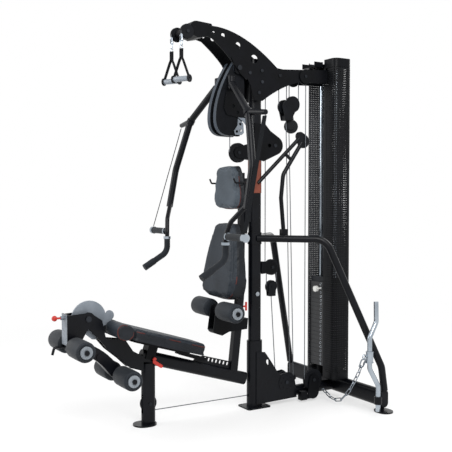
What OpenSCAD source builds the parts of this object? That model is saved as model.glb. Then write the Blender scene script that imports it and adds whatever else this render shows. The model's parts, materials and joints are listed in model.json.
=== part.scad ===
// Multi station home gym: one weight stack that drives a press arm, a high pulley,
// a low pulley and a leg lever round an oval steel frame.
// Millimetres. The origin is on the floor under the main upright, +X is the side with
// the curl bar, -Y the bench end, +Y the weight stack, +Z up.

/* [Main frame] */
// Width of the oval upright across the machine
upright_w = 50; // [46:1:54]
// Depth of the oval upright along the machine
upright_d = 75; // [70:1:80]
// Wall thickness of the oval tubes
tube_wall = 3; // [2:0.5:4]
// Height of the upright's top, inside the boom
upright_top = 1950; // [1930:5:1960]
// Distance of each rear foot from the mid-plane
rear_foot_x = 455; // [440:5:470]
// Radius of the bent stabiliser tubes
stabiliser_r = 20; // [18:1:22]
// Slope of the bench rail, in degrees
rail_slope = 17.1; // [16:0.1:18]

/* [Boom] */
// Half the width over the two boom plates
boom_half_w = 60; // [60:1:62]
// Thickness of each boom plate
boom_plate_t = 6; // [5:1:6]

/* [Weight stack] */
// Number of weight plates
plate_count = 20; // [12:1:20]
// Height of one weight plate with its gap
plate_pitch = 25; // [22:1:25]
// Plates picked up by the selector pin
picked_plates = 2; // [1:1:6]
// Half the width of the perforated tower
tower_half_w = 135; // [132:1:140]
// Top of the perforated tower
tower_top = 1985; // [1975:5:2000]

/* [Pads and rollers] */
// Radius of the foam rollers
roller_r = 50; // [44:1:52]
// Length of one foam roller
roller_len = 160; // [140:5:165]
// Thickness of the seat cushion
seat_t = 55; // [45:1:60]

/* [Hidden] */
$fn = 48;
run = 0.05;          // radial clearance of a running fit
skim = 0.2;          // how much slimmer a bent tube's straights are than its bends

// places along the machine, as [y, z]
press_pivot = [-141, 1885];
leg_pivot = [-1000, 585];
ankle_axle = [-832, 288];
shin_axle = [-1077, 456];
thigh_axle = [-245, 573];
rail_start = [-660, 352];
front_pulley = [-112, 1430];
rear_pulley = [117, 1475];
lower_pulley = [112, 787];
low_pulley = [196, 122];
foot_pulley = [367, 122];
post_pulley = [-660, 112];
upper_block = [206, 1700];
upper_block_rear = [250, 1716];
turned_sheave = [248, 1590];
lower_block = [112, 676];
knob_z = 575;
nose_pulley = [-456, 2048];
nose_x = 56;
nose_r = 38;
stirrup_y = -489.5;
stirrup_twist = 28;   // both stirrups hang turned this far about their links
boom_pulley = [302, 1871];
tower_y = 522;
tower_front = 460;
tower_rear = 585;
tower_bottom = 122;
stack_bottom = 181;
cross_beam_y = 572;
stack_top = stack_bottom + plate_count * plate_pitch;
picked_bottom = stack_top - picked_plates * plate_pitch;
pin_z = picked_bottom + plate_pitch / 2;
stem_r = 13;
rod_r = 10;
rod_x = 70;
arm_pin = [72, -196];
foot_x = rear_foot_x;
curl_x = foot_x + 2;
curl_y = 514;
curl_r = 13.5;

// ---------------------------------------------------------------- helpers

// a slot-shaped outline, w by d, rounded on its short sides
module stadium(w, d) {
  r = min(w, d) / 2;
  dx = w / 2 - r;
  dy = d / 2 - r;
  square([max(2 * dx, 0.001) + (dy > 0 ? 2 * r : 0), max(2 * dy, 0.001) + (dx > 0 ? 2 * r : 0)],
         center = true);
  for (s = [-1, 1]) translate([s * dx, s * dy]) circle(r);
}

// the same outline as a tube wall
module stadium_ring(w, d, t) {
  difference() {
    stadium(w, d);
    stadium(w - 2 * t, d - 2 * t);
  }
}

// a rectangle with rounded corners, exact arcs
module rounded(w, d, r) {
  square([w - 2 * r, d], center = true);
  square([w, d - 2 * r], center = true);
  for (a = [-1, 1], b = [-1, 1]) translate([a * (w / 2 - r), b * (d / 2 - r)]) circle(r);
}

// extrudes a side profile, drawn as [y, z], to a plate w thick centred on x
module side(w, x = 0) {
  translate([x - w / 2, 0, 0]) rotate([90, 0, 90]) linear_extrude(w) children();
}

// a straight round bar from a to b
module bar(a, b, r) {
  d = b - a;
  h = norm(d);
  translate(a) rotate([0, acos(d[2] / h), atan2(d[1], d[0])]) cylinder(h = h, r = r);
}

// a flat strap from a to b, w wide and t thick, with its width along the machine
module strap(a, b, w, t) {
  d = b - a;
  h = norm(d);
  translate(a) rotate([0, acos(d[2] / h), atan2(d[1], d[0])])
    translate([-t / 2, -w / 2, 0]) cube([t, w, h]);
}

function unit(v) = v / norm(v);
function turn(p, i) = acos(unit(p[i] - p[i - 1]) * unit(p[i + 1] - p[i]));
function trim(p, i, bend) = bend * tan(turn(p, i) / 2);

// a round tube bent through the points p, each bend of the same radius
module bent_tube(p, r, bend) {
  last = len(p) - 1;
  for (i = [0 : last - 1]) {
    u = unit(p[i + 1] - p[i]);
    a = p[i] + (i == 0 ? 0 : trim(p, i, bend) - 1) * u;
    b = p[i + 1] - (i + 1 == last ? 0 : trim(p, i + 1, bend) - 1) * u;
    bar(a, b, r - skim);
  }
  for (i = [1 : last - 1]) {
    u = unit(p[i] - p[i - 1]);
    v = unit(p[i + 1] - p[i]);
    n = unit(v - (u * v) * u);
    w = cross(u, n);
    c = p[i] - trim(p, i, bend) * u + bend * n;
    multmatrix([[-n[0], u[0], w[0], c[0]], [-n[1], u[1], w[1], c[1]], [-n[2], u[2], w[2], c[2]]])
      rotate_extrude(angle = turn(p, i)) translate([bend, 0]) circle(r);
  }
}

// a cylinder across the machine at [y, z], from x0 to x1
module cross_bar(at, x0, x1, r) {
  translate([x0, at[0], at[1]]) rotate([0, 90, 0]) cylinder(h = x1 - x0, r = r);
}

// a grooved cable sheave on a cross axle
module sheave(at, x, r, w = 18, bore = 6 + run, holes = 0) {
  translate([x, at[0], at[1]]) rotate([0, 90, 0]) difference() {
    rotate_extrude() polygon([[bore, -w / 2], [r, -w / 2], [r, -w / 2 + 2], [r - 7, -3],
                              [r - 7, 3], [r, w / 2 - 2], [r, w / 2], [bore, w / 2]]);
    for (k = [1 : 1 : holes])
      rotate([0, 0, k * 360 / holes]) translate([r * 0.66, 0, -w]) cylinder(h = 2 * w, r = 4);
  }
}

// two cheek plates beside a sheave
module cheeks(x, gap_w, t) {
  for (s = [-1, 1]) side(t, x + s * (gap_w + t) / 2) children();
}

// the bench rail's own frame: u along the rail, v square to it
module on_rail() {
  translate([0, rail_start[0], rail_start[1]]) rotate([-rail_slope, 0, 0]) children();
}

// a smooth open curve through control points, as straight steps
function bezier(a, b, c, n) =
  [for (k = [0 : n]) let (t = k / n) (1 - t) * (1 - t) * a + 2 * t * (1 - t) * b + t * t * c];
function arc(c, r, a0, a1, n) =
  [for (k = [0 : n]) let (a = a0 + (a1 - a0) * k / n) c + r * [cos(a), sin(a)]];

module mirrored() {
  children();
  mirror([1, 0, 0]) children();
}

// ---------------------------------------------------------------- main frame

module main_upright() color("#15171b") {
  difference() {
    union() {
      linear_extrude(upright_top) stadium(upright_w, upright_d);
      linear_extrude(379) stadium(upright_w + 16, upright_d + 16);
      linear_extrude(8) rounded(120, 150, 12);
    }
    translate([0, 0, 8]) linear_extrude(upright_top)
      stadium(upright_w - 2 * tube_wall, upright_d - 2 * tube_wall);
    for (s = [-1, 1], t = [-1, 1]) translate([s * 46, t * 58, -1]) cylinder(h = 10, r = 5.5);
    // the leg station's cable runs into the sleeve through this hole
    translate([0, 0, 70]) rotate([90, 0, 0]) cylinder(h = 60, r = 9);
    for (b = boom_bolts) cross_bar(b, -60, 60, 5 + run);
  }
}

module accent_sleeve() color("#a4503c")
  translate([0, 0, 1208]) linear_extrude(185)
    difference() {
      stadium(upright_w + 5, upright_d + 5);
      stadium(upright_w, upright_d);
    }

module base_beam() color("#15171b") {
  y0 = upright_d / 2 + 8;
  difference() {
    translate([0, y0, 58]) rotate([-90, 0, 0])
      linear_extrude(cross_beam_y - 24 - y0) stadium_ring(56, 62, tube_wall);
    // slot that the low sheave sits in
    translate([-11, low_pulley[0] - 60, 60]) cube([22, 120, 40]);
  }
  // gusset plates beside the upright's foot
  for (s = [-1, 1]) side(5, s * (upright_w / 2 + 10.6)) difference() {
    polygon(concat([[-10, 20], [268, 27], [262, 92], [252, 140]],
                   arc([196, 122], 60, 20, 75, 6),
                   [[150, 172], [133, 190], [84, 262], [47, 312], [-10, 318]]));
    translate([64, 250]) stadium(16, 36);
    translate(low_pulley) circle(6);
  }
  // drilled round covers over the low sheave
  for (s = [-1, 1]) side(3, s * (upright_w / 2 + 14.6)) difference() {
    translate(low_pulley) circle(54);
    translate(low_pulley) circle(6);
    for (k = [0 : 7]) translate(low_pulley) rotate(k * 45) translate([37, 0]) circle(4);
  }
}

module rear_cross_beam() color("#15171b") {
  translate([-foot_x + 16, cross_beam_y, 68]) rotate([90, 0, 90])
    linear_extrude(2 * foot_x - 32) stadium_ring(48, 96, tube_wall);
  rear_feet();
  // collar that holds the stored curl bar
  difference() {
    union() {
      translate([curl_x, curl_y, 48]) cylinder(h = 42, r = 21);
      translate([curl_x - 26, curl_y, 56]) cube([7.5, 34.5, 26]);
    }
    translate([curl_x, curl_y, 40]) cylinder(h = 60, r = curl_r + 0.5);
  }
}

// floor plates under the cross beam's ends
module rear_feet() {
  mirrored() difference() {
    translate([foot_x, 556, 0]) linear_extrude(8) stadium(112, 90);
    for (s = [-1, 1]) translate([foot_x + s * 42, 540, -1]) cylinder(h = 10, r = 5.5);
  }
  mirrored() translate([foot_x - 38, cross_beam_y, 4]) cylinder(h = 19.2, r = 18);
}

module end_caps() color("#101114")
  mirrored() translate([foot_x - 15.9, cross_beam_y, 68]) rotate([90, 0, 90]) {
    linear_extrude(8) stadium(52, 100);
    translate([0, 0, -20]) linear_extrude(20) stadium(41, 89);
  }

function stabiliser_route() =
  [[22, 4, 955], [262, 300, 952], [foot_x - 8, 546, 250], [foot_x - 8, 568, 116]];

module stabiliser() {
  difference() {
    union() {
      bent_tube(stabiliser_route(), stabiliser_r, 95);
      // half collar round the upright
      translate([0, 0, 922]) linear_extrude(66) stadium(upright_w + 8, upright_d + 8);
    }
    linear_extrude(upright_top) stadium(upright_w, upright_d);
    translate([-99.7, -100, 900]) cube([100, 200, 120]);
    translate([0, cross_beam_y, 68]) rotate([90, 0, 90]) linear_extrude(600) stadium(48, 96);
    translate([foot_x - 16.4, cross_beam_y, 68]) rotate([90, 0, 90])
      linear_extrude(30) stadium(52.6, 100.6);
  }
}

module stabiliser_near() color("#15171b") stabiliser();
module stabiliser_far() color("#15171b") mirror([1, 0, 0]) stabiliser();

// the bench rail's outer shape, to cut its neighbours back with
module rail_hole() on_rail() translate([0, -45.2, 0]) rotate([-90, 0, 0])
  linear_extrude(200) stadium(50.1, 70.1);

module front_post() color("#15171b") {
  difference() {
    union() {
      translate([0, post_pulley[0], 4]) linear_extrude(320) stadium(50, upright_d);
      translate([0, -680, 0]) linear_extrude(8) stadium(110, 126);
    }
    for (s = [-1, 1]) translate([s * 42, -680, -1]) cylinder(h = 10, r = 5.5);
    rail_hole();
    translate([0, post_pulley[0], 20]) linear_extrude(260)
      stadium(50 - 2 * tube_wall, upright_d - 2 * tube_wall);
    translate([0, post_pulley[0], post_pulley[1]]) cube([22, 120, 100], center = true);
    cross_bar(post_pulley, -40, 40, 6);
  }
}

module bench_rail() color("#15171b") {
  on_rail() difference() {
    union() {
      translate([0, -45, 0]) rotate([-90, 0, 0]) linear_extrude(665) stadium(50, 70);
      // notched rack that the seat's rear end hooks on
      side(9) polygon([[262, 20], [278, 50], [320, 72], [512, 74], [540, 40], [540, 20]]);
    }
    translate([0, -42, 0]) rotate([-90, 0, 0]) linear_extrude(659)
      stadium(50 - 2 * tube_wall, 70 - 2 * tube_wall);
    for (k = [0 : 6]) translate([0, 337 + 24.5 * k, 58]) rotate([90, 0, 90])
      translate([0, 0, -30]) linear_extrude(60) stadium(13, 20);
    rotate([rail_slope, 0, 0]) translate([0, -rail_start[0], -rail_start[1]])
      linear_extrude(upright_top) stadium(upright_w + 16, upright_d + 16);
  }
  // post for the thigh rollers, which carries on up as the back frame
  side(36) polygon([[-168, 218], [-124, 206], [-93.7, 470], [-138, 480]]);
}

module leg_arm() color("#15171b") {
  difference() {
    union() {
      for (s = [-1, 1]) side(6, s * 29) polygon(concat(
        arc(leg_pivot, 32, 215, 60, 10),
        [[-925, 572], [-905, 478], [-800, 462], [-758, 400], [-700, 366],
         [-700, 290], [-776, 315], [-825, 362], [-895, 420], [-937, 470]]));
      // tie blocks between the plates
      side(52) polygon([[-735, 318], [-700, 318], [-700, 350], [-735, 372]]);
      side(52) polygon([[-838, 395], [-800, 372], [-800, 440], [-830, 452]]);
    }
    cross_bar(leg_pivot, -60, 60, 10);
    rail_hole();
  }
}

// two cushions, with a slot between them that the cam swings through
module knee_bolster() color("#2e3238") mirrored()
  translate([0, -857, 527]) rotate([-rail_slope, 0, 0]) rotate([90, 0, 90])
    translate([0, 0, 8]) linear_extrude(165) stadium(100, 78);

// ---------------------------------------------------------------- boom

function boom_outline() = concat(
  [[-345, 2034], [-303, 2092]],
  bezier([-303, 2092], [-110, 2090], [110, 1904], 12),
  [[150, 1900], [516, 1924], [516, 1846], [345, 1838]],
  arc(boom_pulley, 46, -40, -140, 8),
  bezier([262, 1836], [140, 1808], [12, 1716], 8),
  [[-40, 1716], [-66, 1800], [-84, 1832]],
  arc(press_pivot, 34, -50, -130, 6),
  bezier([-172, 1900], [-215, 1955], [-309, 2026], 8));

boom_holes = [[-298, 2056, 9], [-240, 2049, 12], [-146, 2006, 16], [-42, 1940, 24]];
boom_bolts = [[-70, 1864], [8, 1881], [129, 1863], [-10, 1760], [10, 1820]];

module boom_plates() color("#15171b")
  for (s = [-1, 1]) side(boom_plate_t, s * (boom_half_w - boom_plate_t / 2)) difference() {
    polygon(boom_outline());
    for (h = boom_holes) translate([h[0], h[1]]) circle(h[2]);
    for (b = boom_bolts) translate(b) circle(5);
    translate(press_pivot) circle(10);
    translate(boom_pulley) circle(6);
  }

module boom_spacers() color("#1c1e23") {
  inner = boom_half_w - boom_plate_t;
  // nose housing, with a fork for the nose sheaves' axle
  difference() {
    union() {
      side(2 * boom_half_w) polygon(concat(
        [[-440, 2040]], bezier([-440, 2040], [-448, 2108], [-400, 2108], 6),
        [[-312, 2102], [-305.5, 2089.5], [-347.5, 2031.5], [-392, 2022]]));
      side(92) polygon(concat(arc(nose_pulley, 20, 90, 270, 6), [[-420, 2024], [-420, 2076]]));
    }
    for (s = [-1, 1]) side(30, s * 61.5) translate(nose_pulley) circle(nose_r + 3);
    cross_bar(nose_pulley, -60, 60, 6);
  }
  // packers between the upright and the boom plates
  for (s = [-1, 1]) difference() {
    side(inner - upright_w / 2 - 0.2, s * (inner + upright_w / 2) / 2)
      polygon([[-28, 1720], [26, 1728], [30, 1900], [-28, 1920]]);
    for (b = boom_bolts) cross_bar(b, -80, 80, 5);
  }
  // round cover on the boom's rear sheave and the pivot cover
  for (s = [-1, 1]) side(8, s * (boom_half_w + 4)) difference() {
    translate(boom_pulley) circle(40);
    translate(boom_pulley) circle(6);
  }
  for (s = [-1, 1]) side(5, s * (boom_half_w + 2.5)) difference() {
    polygon(concat(bezier([-190, 1935], [-150, 1952], [-118, 1935], 6),
                   bezier([-112, 1928], [-86, 1890], [-91, 1826], 6),
                   bezier([-92, 1824], [-150, 1850], [-190, 1935], 6)));
    translate(press_pivot) circle(10);
  }
}

// ---------------------------------------------------------------- pulley brackets, struts

module pulley_brackets() color("#1c1e23") {
  // front sheave bracket
  difference() {
    union() {
      cheeks(0, 22, 5) polygon(concat(arc(front_pulley, 30, 100, 260, 8),
                                      [[-37.6, 1392], [-37.6, 1482]]));
      side(32) polygon([[-45, 1396], [-37.6, 1396], [-37.6, 1480], [-45, 1480]]);
    }
    cross_bar(front_pulley, -60, 60, 6);
    translate([0, front_pulley[0], front_pulley[1]]) rotate([0, 90, 0])
      cylinder(h = 22, r = 59, center = true);
  }
  // rear housing
  difference() {
    cheeks(0, 56, 5) polygon(concat([[-20, 1400], [-20, 1596], [52, 1590], [84, 1556]],
                                    arc(rear_pulley, 52, 60, -70, 10), [[40, 1385]]));
    cross_bar(rear_pulley, -60, 60, 6);
    cross_bar([78, 1474], -60, 60, 11);
    linear_extrude(upright_top) stadium(upright_w, upright_d);
  }
  // lower sheave bracket
  difference() {
    union() {
      cheeks(0, 22, 5) polygon(concat([[38.4, 752], [38.4, 822]], arc(lower_pulley, 30, 80, -80, 8)));
      side(32) polygon([[37.6, 754], [46, 754], [46, 820], [37.6, 820]]);
    }
    cross_bar(lower_pulley, -60, 60, 6);
    translate([0, lower_pulley[0], lower_pulley[1]]) rotate([0, 90, 0])
      cylinder(h = 22, r = 50, center = true);
  }
  // outrigger plate of the low row sheave, beside the base beam
  difference() {
    union() {
      side(6, 70) polygon(concat(arc(foot_pulley, 34, 0, 180, 10),
                                 arc([363, 52], 40, 190, 350, 10)));
      side(14, 35) polygon([[320, 40], [390, 40], [390, 76], [320, 76]]);
      side(34, 56) polygon([[276, 12], [318, 12], [318, 62], [276, 62]]);
      side(29, 52.5) polygon([[318, 14], [390, 14], [390, 36], [318, 36]]);
    }
    cross_bar(foot_pulley, 30, 90, 6);
    translate([0, 163 + 200, 58]) rotate([90, 0, 0])
      linear_extrude(300, center = true) stadium(56, 62);
  }
}

module strut_frame() color("#15171b") {
  x = 44;
  // long strut from the upright up to the rear gusset, and the leg down from it
  difference() {
    bar([x - 20, 4, 1262], [x, 274, 1520], 11);
    linear_extrude(upright_top) stadium(upright_w + 5.2, upright_d + 5.2);
  }
  bent_tube([[x, 291, 1495], [x, 163, 1312], [x, 149, 1180], [x, 169, 968]], 12, 60);
  bar([x, 175, 1430], [x, 225, 1394], 10);
  side(16, x) polygon(concat(arc([279, 1532], 26, 60, 210, 8), arc([299, 1505], 40, 230, 420, 12)));
  // cross tie that carries the leg on the two stabilisers
  difference() {
    bar([-165, 169, 954], [165, 169, 954], 12);
    mirrored() bar([22, 4, 955], [262, 300, 952], stabiliser_r);
  }
  side(28, x) polygon([[149, 950], [189, 950], [189, 1004], [149, 1004]]);
}

// ---------------------------------------------------------------- weight tower

module tower_outline(t = 0) {
  translate([0, (tower_front + tower_rear) / 2])
    rounded(2 * tower_half_w - 2 * t, tower_rear - tower_front - 2 * t, 28 - t);
}

module shroud(front_edge) {
  wall = 2;
  translate([0, 0, tower_bottom]) difference() {
    linear_extrude(tower_top - tower_bottom) difference() {
      tower_outline();
      tower_outline(wall);
      translate([-300, 0]) square([300.2, 700]);
      translate([-1, tower_front - 5]) square([front_edge + 1, 40]);
    }
    translate([boom_half_w - boom_plate_t - 3, tower_front - 5, 1828 - tower_bottom])
      cube([boom_plate_t + 12, 40, 106]);
  }
}

module shroud_near() color("#2a2c30") shroud(34);
module shroud_far() color("#2a2c30") mirror([1, 0, 0]) shroud(108);

module tower_frame() color("#1c1e23") {
  // floor plate on the cross beam
  translate([0, 0, 116]) linear_extrude(6) difference() {
    tower_outline(0);
    for (s = [-1, 1]) translate([s * rod_x, tower_y]) circle(rod_r);
  }
  // top plate, and the channel that ties the tower to the boom
  translate([0, 0, 1954]) linear_extrude(6) difference() {
    tower_outline(2.2);
    for (s = [-1, 1]) translate([s * rod_x, tower_y]) circle(rod_r);
  }
  translate([-100, 400, 1942]) cube([120, 84, 4]);
  translate([-100, 400, 1946]) cube([4, 84, 26]);
  translate([16, 400, 1946]) cube([4, 62, 26]);
  for (s = [-1, 1]) translate([s * 44 - 6, 476, 1924]) cube([12, 36, 18]);
  translate([-50, 484, 1942]) cube([100, 28, 12]);
  // rubber-topped bumpers under the stack
  for (s = [-1, 1]) translate([s * rod_x, tower_y, 122]) difference() {
    cylinder(h = stack_bottom - 122, r = 24);
    translate([0, 0, -1]) cylinder(h = 80, r = rod_r + 1);
  }
}

module guide_rods() color("#c9ced4")
  for (s = [-1, 1]) translate([s * rod_x, tower_y, 116]) cylinder(h = 1844, r = rod_r);

module weight_plate(z) {
  translate([0, 0, z]) difference() {
    translate([0, tower_y, 0]) linear_extrude(plate_pitch - 1) rounded(212, 104, 8);
    for (s = [-1, 1]) translate([s * rod_x, tower_y, -1]) cylinder(h = 40, r = rod_r + run);
    translate([0, tower_y, -1]) cylinder(h = 40, r = stem_r + 1.5);
    translate([0, tower_y, plate_pitch / 2]) rotate([90, 0, 0]) cylinder(h = 80, r = 5.5);
  }
}

module resting_plates() color("#1a1b1e")
  for (k = [0 : plate_count - picked_plates - 1]) weight_plate(stack_bottom + k * plate_pitch);

module picked_stack() color("#1a1b1e")
  for (k = [0 : picked_plates - 1]) weight_plate(picked_bottom + k * plate_pitch);

module stack_head() color("#3a3d42") {
  difference() {
    union() {
      translate([0, tower_y, stack_top - 0.5]) linear_extrude(30) rounded(212, 90, 8);
      translate([0, tower_y, stack_bottom + 8]) cylinder(h = stack_top - stack_bottom, r = stem_r);
    }
    for (s = [-1, 1]) translate([s * rod_x, tower_y, stack_top - 1]) cylinder(h = 40, r = rod_r + run);
    for (k = [0 : plate_count - 1])
      translate([0, tower_y, stack_bottom + (k + 0.5) * plate_pitch])
        rotate([90, 0, 0]) cylinder(h = 60, r = 5.05, center = true);
  }
  // yoke and sheave on the head
  for (s = [-1, 1]) side(5, s * 14)
    polygon(concat([[tower_y - 24, stack_top + 29], [tower_y - 24, stack_top + 110]],
                   arc([tower_y, stack_top + 140], 26, 160, 20, 6),
                   [[tower_y + 24, stack_top + 110], [tower_y + 24, stack_top + 29]]));
  sheave([tower_y, stack_top + 140], 0, 38, bore = 5.9);
  cross_bar([tower_y, stack_top + 140], -20, 20, 6);
}

module selector_pin() color("#e8e8e6") {
  translate([0, 441, pin_z]) rotate([90, 0, 0]) cylinder(h = 18, r = 17);
  translate([0, tower_y + 12, pin_z]) rotate([90, 0, 0]) cylinder(h = tower_y + 12 - 441, r = 5);
}

// ---------------------------------------------------------------- back pads and thigh rollers

module back_frame() color("#15171b") {
  difference() {
    side(32) polygon([[-138, 480.5], [-93.7, 470.5], [-78, 640], [-73, 870], [-73, 1104],
                      [-103, 1104], [-104, 870], [-120, 640]]);
    translate([0, -60, knob_z]) rotate([90, 0, 0]) cylinder(h = 50, r = 5 + run);
  }
  // block that hangs the frame on the upright
  side(44) polygon([[-76, 1048], [-37.6, 1048], [-37.6, 1100], [-76, 1100]]);
  // hanger strip for the upper pad
  side(30) polygon([[-76, 1098], [-40.4, 1098], [-40.4, 1290], [-76, 1290]]);
  side(28) polygon([[-103, 1098], [-74, 1098], [-74, 1320], [-103, 1320]]);
  // steel backing plates with stand-offs to the pads
  side(150) polygon([[-143, 1150], [-138, 1150], [-138, 1330], [-143, 1330]]);
  side(150) polygon([[-152, 660], [-147, 660], [-140, 1000], [-145, 1000]]);
  for (z = [1180, 1290]) side(24) polygon([[-140, z], [-101, z], [-101, z + 20], [-140, z + 20]]);
  for (f = [[760, -147, -108], [960, -143, -102]])
    side(24) polygon([[f[1], f[0]], [f[2], f[0]], [f[2], f[0] + 20], [f[1], f[0] + 20]]);
  // small hook beside the upper pad
  mirrored() bent_tube([[70, -137.8, 1262], [128, -137.8, 1262], [128, -205, 1262],
                        [128, -216, 1286]], 5, 9);
}

function pad_half(points) =
  concat(points, [for (i = [len(points) - 1 : -1 : 0]) [-points[i][0], points[i][1]]]);

module upper_back_pad() color("#545c64")
  translate([0, -143.5, 0]) rotate([90, 0, 0]) linear_extrude(52)
    polygon(pad_half(concat(bezier([60, 1118], [120, 1118], [126, 1180], 5),
                            bezier([126, 1190], [116, 1354], [62, 1358], 7))));

module lower_back_pad() color("#545c64") intersection() {
  // front face leans forward towards its foot
  side(400) polygon([[-152.8, 627], [-236, 627], [-258, 660], [-252, 740], [-206, 1036],
                     [-192, 1052], [-145.6, 1052], [-145.6, 1000]]);
  rotate([90, 0, 0]) linear_extrude(400)
    polygon(pad_half(concat(bezier([60, 620], [150, 622], [170, 730], 7),
                            bezier([170, 740], [150, 930], [104, 1010], 6),
                            bezier([102, 1014], [88, 1053], [50, 1053], 5))));
}

// foam roller pair on one axle, with the end caps that hold the foam
module roller_pair(at, inner) {
  mirrored() translate([inner, at[0], at[1]]) rotate([0, 90, 0]) difference() {
    union() {
      cylinder(h = roller_len, r = roller_r);
      translate([0, 0, roller_len]) cylinder(h = 7, r = 31);
    }
    translate([0, 0, -1]) cylinder(h = roller_len + 20, r = 8 + run);
  }
}

module roller_axle(at, inner) {
  half = inner + roller_len + 10;
  cross_bar(at, -half, half, 8);
  mirrored() cross_bar(at, half, half + 3, 12);
}

module thigh_carriage() color("#1c1e23") {
  difference() {
    union() {
      side(56) polygon([[-196, 446], [-66, 452], [-60, 512], [-184, 520]]);
      for (s = [-1, 1]) side(5, s * 30.5) polygon(concat(
        [[-180, 450], [-180, 512], [-214, 590]], arc(thigh_axle, 24, 40, 170, 6),
        [[-280, 500], [-286, 462], [-270, 444], [-230, 430]]));
      cross_bar([-272, 458], -28, 28, 11);
      cross_bar([-236, 444], -28, 28, 9);
    }
    side(36.8) polygon([[-172, 376], [-98, 376], [-58.6, 622], [-132, 622]]);
  }
  roller_axle(thigh_axle, 55);
}

module thigh_rollers() color("#3b4047") roller_pair(thigh_axle, 55);

// T-handled pin behind the back frame
module back_knob() color("#c03a32") {
  translate([0, -56, knob_z]) rotate([90, 0, 0]) cylinder(h = 44, r = 5);
  translate([0, -56, knob_z - 24]) cylinder(h = 48, r = 6);
}

// ---------------------------------------------------------------- seat

module seat_pad() color("#545c64") on_rail() translate([0, 0, 78])
  linear_extrude(seat_t) polygon(pad_half(concat(
    [[0, -186]], bezier([112, -186], [150, -184], [150, -140], 5),
    bezier([150, -120], [138, 120], [124, 200], 6),
    bezier([122, 206], [108, 300], [0, 304], 8))));

module seat_carriage() color("#1c1e23") on_rail() {
  // board under the cushion
  translate([0, 15, 66]) linear_extrude(11.6) rounded(210, 350, 30);
  // clamp that rides on the rail
  difference() {
    translate([-31, -28, -8]) cube([62, 54, 74]);
    translate([0, -40, 0]) rotate([-90, 0, 0]) linear_extrude(90) stadium(50.8, 70.8);
    translate([-25.4, -40, -20]) cube([50.8, 90, 20]);
  }
  // cheeks beside the notched rack
  for (s = [-1, 1]) side(5, s * 21) polygon([[160, 70], [160, 50], [318, 44], [332, 52], [332, 65], [188, 65], [188, 70]]);
}

// flip lever that locks the seat on the rail
module seat_lever() color("#c03a32") on_rail() {
  translate([31.3, 20, 0]) rotate([0, 90, 0]) cylinder(h = 10, r = 10);
  translate([33, 10, -28]) rotate([0, 0, -6]) rotate([90, 0, 90])
    linear_extrude(8) rotate(-18) translate([30, 18]) stadium(62, 18);
}

// ---------------------------------------------------------------- leg station

module leg_cam() color("#9aa1a8") side(8) difference() {
  polygon(concat(arc([-985, 580], 92, 12, 224, 20),
                 [[-1030, 508], [-1003, 505], [-968, 476], [-948, 474], [-934, 486]],
                 [[-905, 540], [-880, 545]], arc([-876, 590], 26, -50, 120, 8)));
  translate(leg_pivot) circle(10 + run);
}

module leg_lever() color("#15171b") {
  difference() {
    union() {
      for (s = [-1, 1]) side(5, s * 36.5) polygon(concat(
        [[-1106, 610], [-1106, 474], [-1040, 470], [-1012, 520]], arc(leg_pivot, 34, -40, 118, 10)));
      // front flange, with the boss of the spring plunger
      side(79) polygon([[-1110, 462], [-1104, 462], [-1104, 614], [-1110, 614]]);
      translate([0, -1104.5, 596]) rotate([90, 0, 0]) cylinder(h = 25, r = 10);
      // block that joins the plates to the lever
      side(77) polygon([[-1105, 458], [-1060, 464], [-1060, 478], [-1105, 482]]);
      // curved lever that carries the ankle rollers
      side(44) polygon(concat(
        [[-1103, 486], [-1040, 471]], bezier([-1010, 466], [-900, 420], [-838, 332], 8),
        arc(ankle_axle, 30, 60, -140, 8), bezier([-880, 290], [-960, 400], [-1060, 424], 8),
        [[-1103, 432]]));
      cross_bar([-936, 386], -27, 27, 17);
    }
    cross_bar(leg_pivot, -60, 60, 10 + run);
    translate([0, -1090, 596]) rotate([90, 0, 0]) cylinder(h = 60, r = 5 + run);
  }
  roller_axle(shin_axle, 53);
  roller_axle(ankle_axle, 47);
  // small hook below the flange
  bent_tube([[-12, -1084, 446], [-38, -1088, 446], [-38, -1150, 446], [-38, -1160, 410]], 7, 14);
}

module shin_rollers() color("#3b4047") roller_pair(shin_axle, 53);
module ankle_rollers() color("#3b4047") roller_pair(ankle_axle, 47);

// spring plunger with a ball handle, through the lever's front flange
module lever_plunger() color("#c03a32") {
  translate([0, -1085, 596]) rotate([90, 0, 0]) cylinder(h = 66, r = 5);
  translate([0, -1160, 596]) sphere(r = 14);
}

// ---------------------------------------------------------------- press arm

function yoke_rim() = concat(
  bezier([-165, 1916], [-242, 1800], [-268, 1690], 8),
  bezier([-272, 1670], [-298, 1522], [-200, 1519], 9), [[-128, 1517]]);
function yoke_inner() = concat(
  [[-128, 1543]], bezier([-196, 1545], [-268, 1546], [-248, 1668], 9),
  bezier([-246, 1690], [-222, 1790], [-146, 1900], 8));

module yoke_shells() color("#2a2d33") difference() {
  for (s = [-1, 1]) {
    side(30, s * 32) polygon(concat(yoke_rim(), yoke_inner()));
    side(5, s * 44.5) polygon(concat(yoke_rim(), [[-112, 1600], [-100, 1700], [-98, 1800]],
                                     arc(press_pivot, 34, -10, 120, 8)));
    side(36, s * 34) translate(press_pivot) circle(30);
  }
  cross_bar(press_pivot, -60, 60, 10 + run);
}

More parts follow.
